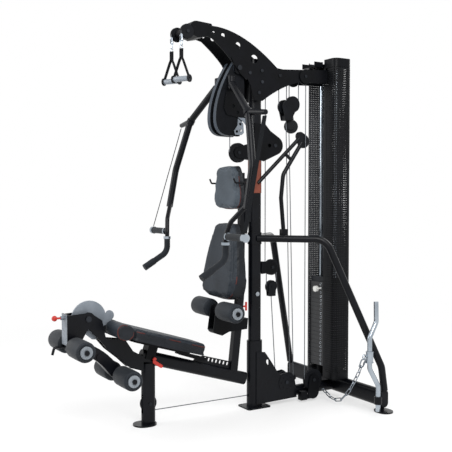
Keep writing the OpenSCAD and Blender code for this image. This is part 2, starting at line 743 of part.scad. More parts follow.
module yoke_hub() color("#8f969d") {
  difference() {
    cross_bar(press_pivot, -15.8, 15.8, 26);
    cross_bar(press_pivot, -60, 60, 10 + run);
  }
  mirrored() {
    // triangular bracket for the arm, and the drilled adjuster plate
    side(6, 50.2) difference() {
      polygon([[-203, 1806], [-219, 1734], [-230, 1664], [-213, 1630], [-143, 1618],
               [-105, 1595], [-85, 1572], [-96, 1617], [-111, 1671], [-150, 1735], [-180, 1806]]);
      for (h = [[-172, 1678], [-146, 1645]]) translate(h) circle(9);
    }
    side(6, 50.2) difference() {
      polygon([[-142, 1612], [-108, 1588], [-104, 1536], [-118, 1524], [-160, 1524],
               [-166, 1545], [-144, 1576]]);
      for (h = [[-127, 1583], [-149, 1542], [-124, 1549]]) translate(h) circle(8);
    }
    // lugs and hinge pin of the arm
    for (z = [1761, 1834]) translate([47.2, arm_pin[1] - 14, z]) cube([35, 28, 6]);
    translate([arm_pin[0], arm_pin[1], 1761]) cylinder(h = 79, r = 6);
  }
  // cross tie behind the rims
  for (z = [1530]) cross_bar([-150, z], -16.8, 16.8, 11);
}

function handle_route() =
  [[416, -318, 1146], [352, -370, 1062], [327, -384, 990], [327, -384, 872], [331, -516, 793]];

// bent handle tube and side grip bar
module handle(extra = 0) {
  bent_tube(handle_route(), 12.5 + extra, 62);
  bar([327, -384, 990], [512 + 8 * extra, -384, 990], 12 + extra);
}

module arm() difference() {
  union() {
    bent_tube([[arm_pin[0] + 14, arm_pin[1] - 3, 1790], [311, -240, 1621], [415, -282, 1345],
               [423, -320, 1128]], 19, 90);
    translate([arm_pin[0], arm_pin[1], 1767.5]) cylinder(h = 66, r = 18);
    // joint band and storage peg
    bar([301, -238, 1628.5], [315, -242, 1609.5], 23.5);
    translate([310, -240, 1620]) rotate([0, 95, 6]) cylinder(h = 141, r1 = 17, r2 = 13);
    handle();
  }
  translate([arm_pin[0], arm_pin[1], 1700]) cylinder(h = 200, r = 6 + run);
}

// chrome rings, foam sleeves and end caps
module grips() difference() {
  union() {
    translate([327, -384, 947]) cylinder(h = 14, r = 21);
    bent_tube([[327, -384, 948], [327, -384, 872], [329.5, -466, 823]], 17, 62);
    bar([329.5, -465, 823.5], [331.4, -525, 787.6], 19);
    cross_bar([-384, 990], 343, 352.5, 20);
    cross_bar([-384, 990], 352, 496.5, 17.5);
    cross_bar([-384, 990], 496, 518, 21);
  }
  handle(0.1);
}

module web_strap() strap([446, -230, 1590], [507, -384, 1012.5], 25, 3);

module arm_near() color("#1c1e23") arm();
module arm_far() color("#1c1e23") mirror([1, 0, 0]) arm();
module grips_near() color("#3f4853") grips();
module grips_far() color("#3f4853") mirror([1, 0, 0]) grips();
module strap_near() color("#141518") web_strap();
module strap_far() color("#141518") mirror([1, 0, 0]) web_strap();

// ---------------------------------------------------------------- high pulley

module pulley_head() color("#1c1e23")
  for (s = [-1, 1]) sheave(nose_pulley, s * nose_x, nose_r, w = 16);

// spring link and ring, a webbing stem that splits in two, and a grip between discs
module stirrups() color("#26282c")
  for (side_x = [-nose_x, nose_x]) translate([side_x, stirrup_y, 0]) {
    translate([0, 0, 1984.3]) chain_link(40, 17, 2.5);
    translate([0, 0, 1963.6]) rotate([0, 90, 0]) rotate_extrude() translate([8, 0]) circle(2);
    rotate([0, 0, stirrup_twist]) {
      translate([-11, -4, 1905]) cube([22, 8, 54]);
      for (s = [-1, 1]) strap([s * 3, 0, 1912], [s * 50, 0, 1802], 20, 4);
      cross_bar([0, 1800], -50, 50, 14);
      for (s = [-1, 1]) cross_bar([0, 1800], s * 50 - 4.5, s * 50 + 4.5, 20);
    }
  }

// ---------------------------------------------------------------- curl bar and chain

module curl_bar() color("#c9ced4") {
  x = curl_x;
  bent_tube([[x, curl_y, 8.5], [x, curl_y, 150], [x, 452, 250], [x, 450, 420], [x, 497, 505],
             [x, 494, 616]], curl_r, 42);
  translate([x, 450.5, 286]) cylinder(h = 60, r = 20);
  for (z = [284, 343]) translate([x, 450.5, z]) cylinder(h = 5, r = 21.5);
  bar([x, 440, 322], [x, 419, 322], 5);
  translate([x, 412, 322]) rotate([0, 90, 0]) rotate_extrude() translate([10, 0]) circle(3.5);
}

chain_route = [[66, 436, 58], [120, 424, 46], [185, 416, 26], [240, 424, 30], [300, 438, 92],
               [360, 440, 182], [412, 424, 244], [452, 413, 306]];
link_pitch = 48;

function route_len(p, i = 0) =
  i + 1 >= len(p) ? 0 : norm(p[i + 1] - p[i]) + route_len(p, i + 1);
function along(p, s, i = 0) =
  let (d = norm(p[i + 1] - p[i]))
  s <= d || i + 2 >= len(p) ? p[i] + (p[i + 1] - p[i]) * s / d : along(p, s - d, i + 1);

// one long link, its length along z
module chain_link(len_out, wide, wire) {
  half = (len_out - wide) / 2;
  for (s = [-1, 1]) {
    translate([s * (wide / 2 - wire), 0, -half]) cylinder(h = 2 * half, r = wire);
    translate([0, 0, s * half]) rotate([90, s > 0 ? -180 : 0, 0])
      rotate_extrude(angle = 180) translate([wide / 2 - wire, 0]) circle(wire);
  }
}

module link_chain() color("#c9ced4") {
  count = floor(route_len(chain_route) / link_pitch);
  for (k = [0 : count - 1]) {
    a = along(chain_route, k * link_pitch);
    b = along(chain_route, (k + 1) * link_pitch);
    d = b - a;
    translate((a + b) / 2) rotate([0, acos(d[2] / norm(d)), atan2(d[1], d[0])])
      rotate([0, 0, k % 2 * 90]) chain_link(59, 22, 2.8);
  }
}

// ---------------------------------------------------------------- sheaves and cables

module front_sheave() color("#26282c") sheave(front_pulley, 0, 54, holes = 8);
module rear_sheave() color("#26282c") sheave(rear_pulley, 0, 48);
module lower_sheave() color("#26282c") sheave(lower_pulley, 0, 45, holes = 6);
module low_sheave() color("#26282c") sheave(low_pulley, 0, 54);
module foot_sheave() color("#26282c") sheave(foot_pulley, 56, 62, holes = 8);
module post_sheave() color("#26282c") sheave(post_pulley, 0, 45, w = 16);

module floating_blocks() color("#26282c") {
  // paired sheaves in a two-lobed block
  sheave(upper_block, -11, 40, w = 16, bore = 5.9);
  sheave(upper_block_rear, 11, 46, w = 16, bore = 4.9);
  cross_bar(upper_block, -25.5, 25.5, 6);
  cross_bar(upper_block_rear, -25.5, 25.5, 5);
  for (s = [-1, 1]) side(4, s * 22.5) polygon(concat(
    arc(upper_block_rear, 34, -10, 100, 8), arc(upper_block, 32, 110, 200, 8),
    [[194, 1622], [232, 1622]]));
  side(41) polygon([[196, 1622], [230, 1622], [230, 1650], [196, 1650]]);
  // sheave turned across the machine below it
  translate([0, turned_sheave[0], 0]) rotate([0, 0, -40]) {
    sheave([0, turned_sheave[1]], 0, 40, w = 14, bore = 5.9);
    cross_bar([0, turned_sheave[1]], -16, 16, 6);
    for (s = [-1, 1]) side(4, s * 13) polygon(concat(
      arc([0, turned_sheave[1]], 20, 180, 360, 8), [[12, 1652], [-12, 1652]]));
    side(22) polygon([[-12, 1634], [12, 1634], [12, 1652], [-12, 1652]]);
  }
  // lower block
  sheave(lower_block, 0, 36, w = 16, bore = 5.9);
  cross_bar(lower_block, -18, 18, 6);
  for (s = [-1, 1]) side(4, s * 13) polygon(concat(
    arc(lower_block, 26, 0, 180, 8), [[92, 622], [134, 622]]));
  side(22) polygon([[94, 622], [132, 622], [132, 636], [94, 636]]);
}

module fixed_cables() color("#8b9095") {
  bar([0, 71, 1780], [0, 71, 792], 2.5);
  bar([57.5, 309, 1822], [56, 309.5, 128], 2.5);
  bar([0, -654, 70.6], [0, -47, 70.6], 2.5);
  // high pulley cable ends, each with a stop and an eye
  mirrored() translate([nose_x, stirrup_y, 0]) {
    translate([0, 0, 2015]) cylinder(h = 33, r = 2.5);
    translate([0, 0, 2008]) cylinder(h = 14, r = 8);
    rotate([0, 90, 0]) translate([-2003, 0, -2]) difference() {
      cylinder(h = 4, r = 8);
      translate([0, 0, -1]) cylinder(h = 6, r = 4);
    }
  }
}

module moving_cables() color("#8b9095") {
  // falls between the boom and the floating block
  bar([-11, 170, 1702], [-11, 170, 1830], 2.5);
  bar([-11, 242, 1702], [-11, 242, 1850], 2.5);
  bar([11, 208, 1718], [11, 208, 1850], 2.5);
  bar([11, 292, 1718], [11, 292, 1860], 2.5);
  // falls from the blocks to the low sheave and the base
  bar([0, 213, 1621.5], [0, 246, 124], 2.5);
  bar([13, 225, 1550], [14, 262, 91], 2.5);
  bar([0, 113, 621.5], [0, 146, 124], 2.5);
  bar([0, 80, 678], [0, 80, 758], 2.5);
  bar([0, 144, 678], [0, 153, 786], 2.5);
  // falls over the stack
  bar([0, tower_y - 34, stack_top + 140], [0, tower_y - 34, 1900], 2.5);
  bar([0, tower_y + 34, stack_top + 140], [0, tower_y + 34, 1900], 2.5);
  // short cable from the press yoke to the front sheave
  bar([0, -163, 1518], [0, -163, 1432], 2.5);
}

module pivot_bolt(at, half, r, head) {
  cross_bar(at, -half, half, r);
  mirrored() cross_bar(at, half, half + head / 2, head);
}

module frame_bolts() color("#2b2d31") {
  pivot_bolt(press_pivot, boom_half_w + 5, 10, 14);
  for (b = boom_bolts) pivot_bolt(b, boom_half_w, 5, 9);
  pivot_bolt(boom_pulley, boom_half_w + 8, 6, 9);
  pivot_bolt(nose_pulley, nose_x + 9, 6, 9);
  pivot_bolt(front_pulley, 16, 6, 9);
  pivot_bolt(rear_pulley, 33, 6, 10);
  pivot_bolt(lower_pulley, 16, 6, 9);
  pivot_bolt(low_pulley, upright_w / 2 + 16.2, 6, 10);
  cross_bar(foot_pulley, 28, 73, 6);
  cross_bar(foot_pulley, 73, 78, 10);
  pivot_bolt(post_pulley, 25, 6, 9);
  pivot_bolt(leg_pivot, 39.2, 10, 15);
}

main_upright();
accent_sleeve();
base_beam();
rear_cross_beam();
end_caps();
stabiliser_near();
stabiliser_far();
front_post();
bench_rail();
leg_arm();
knee_bolster();
boom_plates();
boom_spacers();
pulley_brackets();
strut_frame();
guide_rods();
tower_frame();
shroud_near();
shroud_far();
resting_plates();
back_frame();
upper_back_pad();
lower_back_pad();
frame_bolts();
fixed_cables();
moving_cables();
link_chain();
yoke_shells();
yoke_hub();
arm_near();
grips_near();
strap_near();
arm_far();
grips_far();
strap_far();
picked_stack();
stack_head();
selector_pin();
seat_pad();
seat_carriage();
seat_lever();
leg_cam();
leg_lever();
ankle_rollers();
shin_rollers();
lever_plunger();
thigh_carriage();
thigh_rollers();
back_knob();
pulley_head();
stirrups();
curl_bar();
front_sheave();
rear_sheave();
lower_sheave();
low_sheave();
foot_sheave();
post_sheave();
floating_blocks();
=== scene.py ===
# Multi station home gym: the looks of each piece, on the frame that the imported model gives.
import json
import math

import bpy
from mathutils import Matrix, Vector

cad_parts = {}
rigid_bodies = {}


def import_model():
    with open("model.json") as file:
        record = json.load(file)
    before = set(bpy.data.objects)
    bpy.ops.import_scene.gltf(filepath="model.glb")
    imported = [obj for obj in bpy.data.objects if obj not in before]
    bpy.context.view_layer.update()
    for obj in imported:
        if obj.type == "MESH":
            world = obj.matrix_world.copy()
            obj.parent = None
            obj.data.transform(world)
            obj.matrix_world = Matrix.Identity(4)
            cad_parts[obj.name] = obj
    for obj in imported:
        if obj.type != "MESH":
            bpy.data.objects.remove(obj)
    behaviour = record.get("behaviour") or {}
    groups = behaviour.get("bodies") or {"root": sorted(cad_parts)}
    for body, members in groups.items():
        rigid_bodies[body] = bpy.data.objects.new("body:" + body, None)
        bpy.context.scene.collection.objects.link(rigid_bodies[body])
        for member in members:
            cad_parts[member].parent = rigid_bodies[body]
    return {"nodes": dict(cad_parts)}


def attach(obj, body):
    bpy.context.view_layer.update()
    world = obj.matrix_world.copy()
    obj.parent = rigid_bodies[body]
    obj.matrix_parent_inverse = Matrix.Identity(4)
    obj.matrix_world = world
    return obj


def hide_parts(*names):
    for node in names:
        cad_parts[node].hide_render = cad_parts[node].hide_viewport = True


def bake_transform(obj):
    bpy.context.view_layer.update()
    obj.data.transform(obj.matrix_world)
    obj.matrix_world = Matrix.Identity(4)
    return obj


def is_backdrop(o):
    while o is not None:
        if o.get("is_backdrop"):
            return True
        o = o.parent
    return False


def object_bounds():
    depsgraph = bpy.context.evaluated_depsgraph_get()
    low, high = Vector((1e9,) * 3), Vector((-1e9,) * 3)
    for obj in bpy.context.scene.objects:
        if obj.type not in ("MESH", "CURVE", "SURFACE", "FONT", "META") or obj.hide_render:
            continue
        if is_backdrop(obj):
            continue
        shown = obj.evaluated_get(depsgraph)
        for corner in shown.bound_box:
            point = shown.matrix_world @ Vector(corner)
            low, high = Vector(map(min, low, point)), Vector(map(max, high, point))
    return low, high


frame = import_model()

nodes = frame["nodes"]
cad_low, cad_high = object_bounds()

# Camera: eye height of a standing person, three metres off the bench's near corner.
# It looks along the machine from its bench end, a little down.
CAMERA_PLACE = Vector((3.657, -2.369, 1.202))
CAMERA_LOOK = Vector((-0.858, 0.512, -0.041))
bpy.ops.object.camera_add(location=CAMERA_PLACE, rotation=CAMERA_LOOK.to_track_quat("-Z", "Y").to_euler())
camera = bpy.context.object
camera.data.lens = 61.83
camera.data.sensor_width = 36
bpy.context.scene.camera = camera


# Floor: a flat, seamless sheet of pale studio paper under the machine, which keeps its shadow.
# The paper and the room are white to the eye and to mirrors, and lend the object little light.
def linear(code):
    """An sRGB hex colour as the linear RGBA that a shader takes."""
    parts = [int(code[i:i + 2], 16) / 255 for i in (1, 3, 5)]
    return [p / 12.92 if p <= 0.04045 else ((p + 0.055) / 1.055) ** 2.4 for p in parts] + [1]


def add(tree, kind, settings, links):
    """Adds a node, gives it its settings and sockets' values, and links what feeds it."""
    made = tree.nodes.new(kind)
    for key, value in settings.items():
        if isinstance(key, str) and hasattr(made, key):
            setattr(made, key, value)
        else:
            made.inputs[key].default_value = value
    for socket, source in links.items():
        tree.links.new(source, made.inputs[socket])
    return made


def new_material(name):
    """An empty material with its shader, ready for the nodes that feed it."""
    made = bpy.data.materials.new(name)
    made.use_nodes = True
    return made, made.node_tree, made.node_tree.nodes["Principled BSDF"]


paper, tree, shader = new_material("studio_paper")
shader.inputs["Base Color"].default_value = linear("#f4f4f4")
shader.inputs["Roughness"].default_value = 0.9
rays = add(tree, "ShaderNodeLightPath", {}, {})
seen = add(tree, "ShaderNodeMath", {"operation": "MAXIMUM"},
           {0: rays.outputs["Is Camera Ray"], 1: rays.outputs["Is Glossy Ray"]})
white = add(tree, "ShaderNodeEmission", {"Color": [1, 1, 1, 1], "Strength": 1.0}, {})
# the paper is flat; it glows for camera and mirror rays, a painted brightness that grows with distance until
# a few metres off it has no shade left
spot = add(tree, "ShaderNodeTexCoord", {}, {}).outputs["Object"]
far_off = add(tree, "ShaderNodeVectorMath", {"operation": "LENGTH"}, {0: spot})
glow = add(tree, "ShaderNodeMapRange", {"interpolation_type": "SMOOTHSTEP", "From Min": 1.2, "From Max": 3.6,
                                        "To Min": 0.55, "To Max": 1.0}, {"Value": far_off.outputs["Value"]})
share = add(tree, "ShaderNodeMath", {"operation": "MULTIPLY"},
            {0: seen.outputs[0], 1: glow.outputs["Result"]})
mixed = add(tree, "ShaderNodeMixShader", {}, {0: share.outputs[0], 1: shader.outputs[0], 2: white.outputs[0]})
tree.links.new(mixed.outputs[0], tree.nodes["Material Output"].inputs["Surface"])
bpy.ops.mesh.primitive_plane_add(size=30, location=(0, 0, -0.0005))
floor = bpy.context.object
floor.name = "studio_floor"
floor.data.materials.append(paper)
floor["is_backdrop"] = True

world = bpy.data.worlds.new("studio_air")
bpy.context.scene.world = world
world.use_nodes = True
tree = world.node_tree
air = tree.nodes["Background"]
air.inputs["Color"].default_value = [1, 1, 1, 1]
air.inputs["Strength"].default_value = 0.55
rays = add(tree, "ShaderNodeLightPath", {}, {})
seen = add(tree, "ShaderNodeMath", {"operation": "MAXIMUM"},
           {0: rays.outputs["Is Camera Ray"], 1: rays.outputs["Is Transmission Ray"]})
seen = add(tree, "ShaderNodeMath", {"operation": "MAXIMUM"},
           {0: seen.outputs[0], 1: rays.outputs["Is Glossy Ray"]})
backdrop = add(tree, "ShaderNodeBackground", {"Color": [1, 1, 1, 1], "Strength": 1.0}, {})
mixed = add(tree, "ShaderNodeMixShader", {}, {0: seen.outputs[0], 1: air.outputs[0], 2: backdrop.outputs[0]})
tree.links.new(mixed.outputs[0], tree.nodes["World Output"].inputs["Surface"])

# Lamps: a broad soft box high on the near side, one over the bench end, one behind.
MIDDLE = Vector((0, -0.1, 1.0))
for place, size, watts in [((3.2, -1.2, 3.4), 2.6, 150), ((-1.5, -3.8, 2.6), 2.2, 90),
                           ((-1.2, 3.2, 3.2), 2.4, 80)]:
    aim = (MIDDLE - Vector(place)).to_track_quat("-Z", "Y").to_euler()
    bpy.ops.object.light_add(type="AREA", location=place, rotation=aim)
    lamp = bpy.context.object
    lamp.data.shape = "SQUARE"
    lamp.data.size = size
    lamp.data.energy = watts
bpy.context.scene.view_settings.view_transform = "Standard"


# Steel frame: oval and round tubes, flame-cut plates and folded brackets, welded, shot-blasted and
# powder-coated near-black with a fine orange peel. Edges are broken by the coating's thickness.
MM = 0.001


def only(*objects):
    """Selects these objects alone and makes the first one active."""
    for other in bpy.context.scene.objects:
        other.select_set(False)
    for chosen in objects:
        chosen.select_set(True)
    bpy.context.view_layer.objects.active = objects[0]


def surface(name, colour, shade, roughness, grain, relief, metallic=0.0, coat=0.0, sheen=0.0,
            specular=0.12):
    """A worked surface: colour drifting to shade over hands' widths, with a fine grain.

    grain is the grain's width and relief its height, both in millimetres."""
    made, tree, shader = new_material(name)
    shader.inputs["Metallic"].default_value = metallic
    shader.inputs["Specular IOR Level"].default_value = specular
    shader.inputs["Coat Weight"].default_value = coat
    shader.inputs["Coat Roughness"].default_value = 0.25
    shader.inputs["Sheen Weight"].default_value = sheen
    place = add(tree, "ShaderNodeTexCoord", {}, {}).outputs["Object"]
    drift = add(tree, "ShaderNodeTexNoise", {"Scale": 1 / (90 * MM), "Detail": 4.0}, {"Vector": place})
    ramp = add(tree, "ShaderNodeValToRGB", {}, {"Fac": drift.outputs["Fac"]})
    ramp.color_ramp.elements[0].position = 0.35
    ramp.color_ramp.elements[0].color = linear(shade)
    ramp.color_ramp.elements[1].position = 0.65
    ramp.color_ramp.elements[1].color = linear(colour)
    tree.links.new(ramp.outputs["Color"], shader.inputs["Base Color"])
    fine = add(tree, "ShaderNodeTexNoise", {"Scale": 1 / (grain * MM), "Detail": 2.0}, {"Vector": place})
    wear = add(tree, "ShaderNodeMapRange", {"From Min": 0.3, "From Max": 0.7, "To Min": roughness - 0.05,
                                            "To Max": roughness + 0.05}, {"Value": drift.outputs["Fac"]})
    tree.links.new(wear.outputs["Result"], shader.inputs["Roughness"])
    bump = add(tree, "ShaderNodeBump", {"Strength": 0.6, "Distance": relief * MM},
               {"Height": fine.outputs["Fac"]})
    tree.links.new(bump.outputs["Normal"], shader.inputs["Normal"])
    return made


def dress(names, material, edge=1.2):
    """Gives CAD nodes a material, and rounds their edges by edge millimetres."""
    for name in names:
        node = nodes[name]
        only(node)
        bpy.ops.mesh.customdata_custom_splitnormals_clear()
        bpy.ops.object.shade_smooth()
        node.data.materials.clear()
        node.data.materials.append(material)
        node.modifiers.new("joined", "WELD").merge_threshold = 0.00002
        flat = node.modifiers.new("flats", "DECIMATE")
        flat.decimate_type = "DISSOLVE"
        flat.angle_limit = math.radians(1.5)
        round_edges = node.modifiers.new("edges", "BEVEL")
        round_edges.width = edge * MM
        round_edges.segments = 2
        round_edges.limit_method = "ANGLE"
        round_edges.angle_limit = math.radians(32)
        round_edges.use_clamp_overlap = True
        node.modifiers.new("shading", "WEIGHTED_NORMAL").keep_sharp = True


powder_coat = surface("black_powder_coat_on_steel", "#0b0d12", "#08090d", 0.3, 1.2, 0.05, specular=0.16)
dress(["main_upright", "base_beam", "rear_cross_beam", "stabiliser_near", "stabiliser_far", "front_post",
       "bench_rail", "leg_arm", "strut_frame", "back_frame", "arm_near", "arm_far", "leg_lever"], powder_coat)
plate_coat = surface("black_powder_coat_on_plate", "#090a0e", "#07080a", 0.4, 1.2, 0.05, specular=0.1)
dress(["boom_plates", "boom_spacers", "pulley_brackets", "tower_frame", "thigh_carriage", "seat_carriage"],
      plate_coat)
copper_coat = surface("copper_red_lacquer", "#874a3b", "#6f3d30", 0.35, 1.0, 0.03, metallic=0.35, coat=0.2)
dress(["accent_sleeve"], copper_coat)
dress(["end_caps"], surface("black_polyethylene_caps", "#1a1b1e", "#131417", 0.55, 0.8, 0.06))


# Bolts and caps: zinc-plated hex bolts, washers and axle ends, blackened, with a dull bright edge.
zinc = surface("blackened_zinc_plate", "#33363b", "#222427", 0.38, 0.6, 0.02, metallic=0.7)
dress(["frame_bolts"], zinc, 0.6)


# Press yoke: two curved boxes injection-moulded in dark glass-filled nylon, each with a paler
# soft-touch rim along its edge. They clamp on the press pivot.
def paint_by(node, material, test):
    """Gives one more material to those faces of a CAD node that pass the test."""
    node.data.materials.append(material)
    last = len(node.data.materials) - 1
    for face in node.data.polygons:
        if test(face):
            face.material_index = last
    node.modifiers["flats"].delimit = {"MATERIAL"}


yoke_web = surface("dark_moulded_nylon", "#101216", "#0c0d10", 0.5, 0.9, 0.06, specular=0.08)
yoke_rim = surface("grey_soft_touch_rim", "#3f464f", "#353c44", 0.45, 0.9, 0.05)
dress(["yoke_shells"], yoke_web, 2.0)
paint_by(nodes["yoke_shells"], yoke_rim, lambda face: abs(face.normal.x) < 0.5)


# Hinge brackets of the press arms: laser-cut steel plates, painted silver-grey, with a fine sparkle.
silver_paint = surface("silver_grey_paint_on_steel", "#868d95", "#747b83", 0.38, 0.7, 0.03, metallic=0.3)
dress(["yoke_hub"], plate_coat, 0.8)
HUB_TOP, HUB_FRONT = 1.611, -0.167
paint_by(nodes["yoke_hub"], silver_paint, lambda face: face.center.z < HUB_TOP and face.center.y > HUB_FRONT)


# Hand grips: foam sleeves pushed on the bent handles, held by chromed collars and end rings.
# The foam is closed-cell rubber, with pores about a millimetre apart.
grip_foam = surface("black_nitrile_foam", "#1f2328", "#181b1f", 0.78, 1.3, 0.35, sheen=0.1, specular=0.15)
chrome = surface("chrome_plate", "#b2bac2", "#98a1aa", 0.16, 3.0, 0.004, metallic=1.0)
dress(["grips_near", "grips_far"], grip_foam, 1.5)


def is_ring(face):
    """A collar's face: beside the handle's side bar, or just above its foam."""
    x, y, z = abs(face.center.x), face.center.y, face.center.z
    on_bar = abs(y + 0.384) < 0.024 and abs(z - 0.99) < 0.024
    return (on_bar and (x < 0.3526 or x > 0.4958)) or (abs(z - 0.954) < 0.0075 and x < 0.35)


for grip in ("grips_near", "grips_far"):
    paint_by(nodes[grip], chrome, is_ring)


# Leg cam: cut from 8 mm plate, tumbled and painted silver-grey, as is the lever's front flange.
dress(["leg_cam"], silver_paint, 1.2)
paint_by(nodes["leg_lever"], silver_paint, lambda face: face.center.y < -1.1095 and face.center.z > 0.46
         and abs(face.center.x) < 0.04)


# Weight stack: cast-iron plates, painted black over the sand-cast skin, on two chromed guide rods.
# A steel head plate tops them and carries the cable.
cast_iron = surface("black_painted_cast_iron", "#1b1c1f", "#131417", 0.45, 2.2, 0.18, specular=0.4)
dress(["picked_stack", "resting_plates"], cast_iron, 1.6)
dress(["stack_head"], surface("grey_painted_steel_head", "#26282c", "#1d1f22", 0.4, 1.0, 0.04), 1.0)
dress(["guide_rods"], chrome, 0.4)
dress(["selector_pin"], surface("white_acetal_knob", "#e4e4e0", "#d8d8d4", 0.3, 0.8, 0.01, coat=0.3), 1.0)


# Sheaves: grooved wheels moulded in black nylon, on ball bearings, between steel cheeks.
nylon = surface("black_moulded_nylon", "#101216", "#0b0c0f", 0.42, 1.0, 0.03)
dress(["front_sheave", "rear_sheave", "lower_sheave", "low_sheave", "foot_sheave", "post_sheave",
       "pulley_head", "floating_blocks"], nylon, 1.0)


# Release knobs and the seat's flip lever: glossy red polypropylene over steel pins.
red_knob = surface("gloss_red_polypropylene", "#c2372e", "#b03028", 0.28, 1.0, 0.01, coat=0.4)
dress(["lever_plunger", "back_knob", "seat_lever"], red_knob, 1.5)


# Curl bar: bent steel tube with turned collars, polished and chromed.
dress(["curl_bar"], chrome, 0.6)


# Fixed cables: seven-strand steel wire drawn through a clear grey nylon jacket, 5 mm across.
jacket = surface("nylon_jacketed_steel_cable", "#5e6267", "#44474c", 0.35, 1.2, 0.25, metallic=0.3, coat=0.4)
dress(["fixed_cables"], jacket, 0.3)


# Moving cables: the same jacketed wire. Each fall runs from a sheave to a block that travels, so
# it is longer or shorter as the machine works.
def shape_done(piece, name, material, body=None, angle=35):
    """Settles a finished piece: its place goes into its mesh, then its finish and body."""
    only(piece)
    piece.name = name
    bpy.ops.object.transform_apply(location=True, rotation=True, scale=True)
    bpy.ops.object.shade_smooth_by_angle(angle=math.radians(angle))
    if material:
        piece.data.materials.clear()
        piece.data.materials.append(material)
    if body:
        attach(piece, body)


def wire(points, radius, sides=8, closed=False):
    """A round wire through these points, in millimetres, as a closed mesh."""
    line = bpy.data.curves.new("wire", "CURVE")
    line.dimensions = "3D"
    line.bevel_depth = radius * MM
    line.bevel_resolution = sides // 4
    line.use_fill_caps = True
    run = line.splines.new("POLY")
    run.points.add(len(points) - 1)
    for point, place in zip(run.points, points):
        point.co = [c * MM for c in place] + [1]
    run.use_cyclic_u = closed
    made = bpy.data.objects.new("wire", line)
    bpy.context.collection.objects.link(made)
    only(made)
    bpy.ops.object.convert(target="MESH")
    return bpy.context.object


def join(parts):
    """Makes one mesh of several."""
    only(*parts)
    bpy.ops.object.join()
    return bpy.context.object


CABLE_RADIUS = 2.5
STEPS = 12
# name: the bodies at its two ends, the heights of those ends, and each fall's plan place at both
FALLS = {
    "cables_over_stack": ("frame", "stack", 1900, 821, [((0, 488), (0, 488)), ((0, 556), (0, 556))]),
    "cables_boom_front": ("frame", "floating_blocks", 1835, 1702,
                          [((-11, 170), (-11, 170)), ((-11, 242), (-11, 242))]),
    "cables_boom_rear": ("frame", "floating_blocks", 1850, 1718,
                         [((11, 208), (11, 208)), ((11, 292), (11, 292))]),
    "cable_block_to_low": ("floating_blocks", "frame", 1621.5, 124, [((0, 213), (0, 246))]),
    "cable_turned_to_low": ("floating_blocks", "frame", 1550, 91, [((13, 225), (14, 262))]),
    "cable_lower_block": ("floating_blocks", "frame", 621.5, 124, [((0, 113), (0, 146))]),
    "cables_lower_sheave": ("floating_blocks", "frame", 678, 758, [((0, 80), (0, 80)), ((0, 144), (0, 150))]),
    "cable_press": ("press", "frame", 1518, 1432, [((0, -163), (0, -163))]),
}
falls = []
for name, (body_a, body_b, start_z, end_z, lines) in FALLS.items():
    parts = [wire([[p[0] + (q[0] - p[0]) * k / STEPS, p[1] + (q[1] - p[1]) * k / STEPS,
                    start_z + (end_z - start_z) * k / STEPS] for k in range(STEPS + 1)], CABLE_RADIUS)
             for p, q in lines]
    fall = join(parts)
    shape_done(fall, name, jacket)
    x, y = [c * MM for c in lines[0][0]]
    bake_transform(fall)
    falls.append(fall)
for fall in falls:
    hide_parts("moving_cables")


# Cushions: plywood boards with 50 mm foam, covered in grained vinyl. The face panel is paler than
# the sides, and a dark red piping runs round the seam between them.
vinyls = {}
for shade_name, low, high in [("grey", "#3a4148", "#464e56"), ("charcoal", "#1f242a", "#2a3037")]:
    made, tree, shader = new_material(shade_name + "_grained_vinyl")
    vinyls[shade_name] = made
    place = add(tree, "ShaderNodeTexCoord", {}, {}).outputs["Object"]
    drift = add(tree, "ShaderNodeTexNoise", {"Scale": 1 / (120 * MM), "Detail": 3.0}, {"Vector": place})
    ramp = add(tree, "ShaderNodeValToRGB", {}, {"Fac": drift.outputs["Fac"]})
    ramp.color_ramp.elements[0].position = 0.3
    ramp.color_ramp.elements[0].color = linear(low)
    ramp.color_ramp.elements[1].position = 0.7
    ramp.color_ramp.elements[1].color = linear(high)
    tree.links.new(ramp.outputs["Color"], shader.inputs["Base Color"])
    # pebbled grain: cells 1.6 mm wide with softened creases between them
    cells = add(tree, "ShaderNodeTexVoronoi", {"feature": "SMOOTH_F1", "Scale": 1 / (1.6 * MM)},
                {"Vector": place})
    creases = add(tree, "ShaderNodeTexNoise", {"Scale": 1 / (14 * MM), "Detail": 3.0}, {"Vector": place})
    height = add(tree, "ShaderNodeMath", {"operation": "ADD"},
                 {0: cells.outputs["Distance"], 1: creases.outputs["Fac"]})
    grain = add(tree, "ShaderNodeBump", {"Strength": 0.55, "Distance": 0.35 * MM},
                {"Height": height.outputs[0]})
    tree.links.new(grain.outputs["Normal"], shader.inputs["Normal"])
    gloss = add(tree, "ShaderNodeMapRange", {"To Min": 0.44, "To Max": 0.58},
                {"Value": creases.outputs["Fac"]})
    tree.links.new(gloss.outputs["Result"], shader.inputs["Roughness"])
    shader.inputs["Specular IOR Level"].default_value = 0.2
side_vinyl = surface("dark_grained_vinyl", "#1c1f24", "#15181c", 0.5, 1.6, 0.3, specular=0.2)
piping_cord = surface("oxblood_vinyl_piping", "#5c2e29", "#4a2623", 0.45, 1.2, 0.1)


VOXEL = 5
TAKE_IN = 4.5      # how much smaller the cover is cut than the stuffed cushion
LAST_STEP = 20     # steps in which the stuffing comes to rest
GROOVE = 0.9       # how deep a seam draws the cover in
PIPING_RADIUS = 2.5


